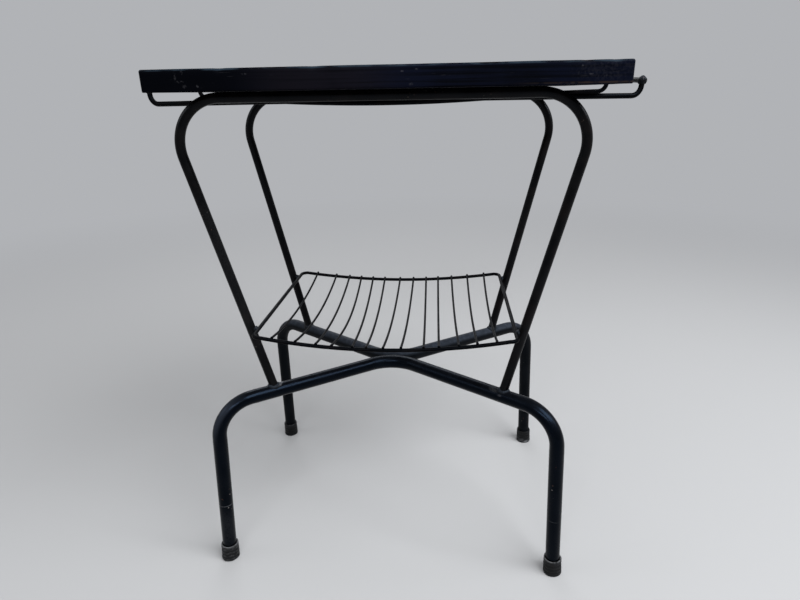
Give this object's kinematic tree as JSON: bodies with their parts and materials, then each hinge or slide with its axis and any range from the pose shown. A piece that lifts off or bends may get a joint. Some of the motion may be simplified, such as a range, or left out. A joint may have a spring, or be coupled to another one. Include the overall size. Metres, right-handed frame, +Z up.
{
  "type": "side table",
  "caption": "Small side table: a loose black board on a welded frame of bent rod and tube, with a sagging wire magazine rack, wire carrying handles and rubber feet.",
  "frame": {"origin": "on the floor, under the middle of the table's bounding box", "axes": "+Z up, +X to the right along the board's long side, -Y towards the viewer at the front"},
  "size_m": [0.4906, 0.2838, 0.5477],
  "materials": {
    "board_paint": "black paint, satin, lightly scuffed",
    "frame_enamel": "black enamel, semi-gloss, worn",
    "wire_enamel": "black enamel, satin, dusty",
    "weld_enamel": "black enamel over weld bead",
    "foot_rubber": "matt, aged"
  },
  "bodies": {
    "frame": {"front_upper_frame": "frame_enamel", "rear_upper_frame": "frame_enamel", "front_base_tube": "frame_enamel", "rear_base_tube": "frame_enamel", "base_centre_weld": "weld_enamel", "rod_weld_front_left": "weld_enamel", "rod_weld_front_right": "weld_enamel", "rod_weld_rear_left": "weld_enamel", "rod_weld_rear_right": "weld_enamel", "rack_weld_front_left": "weld_enamel", "rack_weld_front_right": "weld_enamel", "rack_weld_rear_left": "weld_enamel", "rack_weld_rear_right": "weld_enamel", "handle_weld_front_left": "weld_enamel", "handle_weld_front_right": "weld_enamel", "handle_weld_rear_left": "weld_enamel", "handle_weld_rear_right": "weld_enamel", "rail_weld_front_left": "weld_enamel", "rail_weld_front_right": "weld_enamel", "rail_weld_rear_left": "weld_enamel", "rail_weld_rear_right": "weld_enamel", "foot_front_left": "foot_rubber", "foot_front_right": "foot_rubber", "foot_rear_left": "foot_rubber", "foot_rear_right": "foot_rubber", "rack_rim": "wire_enamel", "rack_wire_01": "wire_enamel", "rack_wire_02": "wire_enamel", "rack_wire_03": "wire_enamel", "rack_wire_04": "wire_enamel", "rack_wire_05": "wire_enamel", "rack_wire_06": "wire_enamel", "rack_wire_07": "wire_enamel", "rack_wire_08": "wire_enamel", "rack_wire_09": "wire_enamel", "rack_wire_10": "wire_enamel", "rack_wire_11": "wire_enamel", "rack_wire_12": "wire_enamel", "rack_wire_13": "wire_enamel", "handle_wire_front": "wire_enamel", "handle_wire_rear": "wire_enamel", "handle_rail_left": "wire_enamel", "handle_rail_right": "wire_enamel"},
    "top": {"top_board": "board_paint"}
  },
  "joints": [
    {"name": "top_lift", "type": "slide", "parent": "frame", "child": "top", "axis": [0, 0, 1], "range_m": [0, 0.08]}
  ]
}
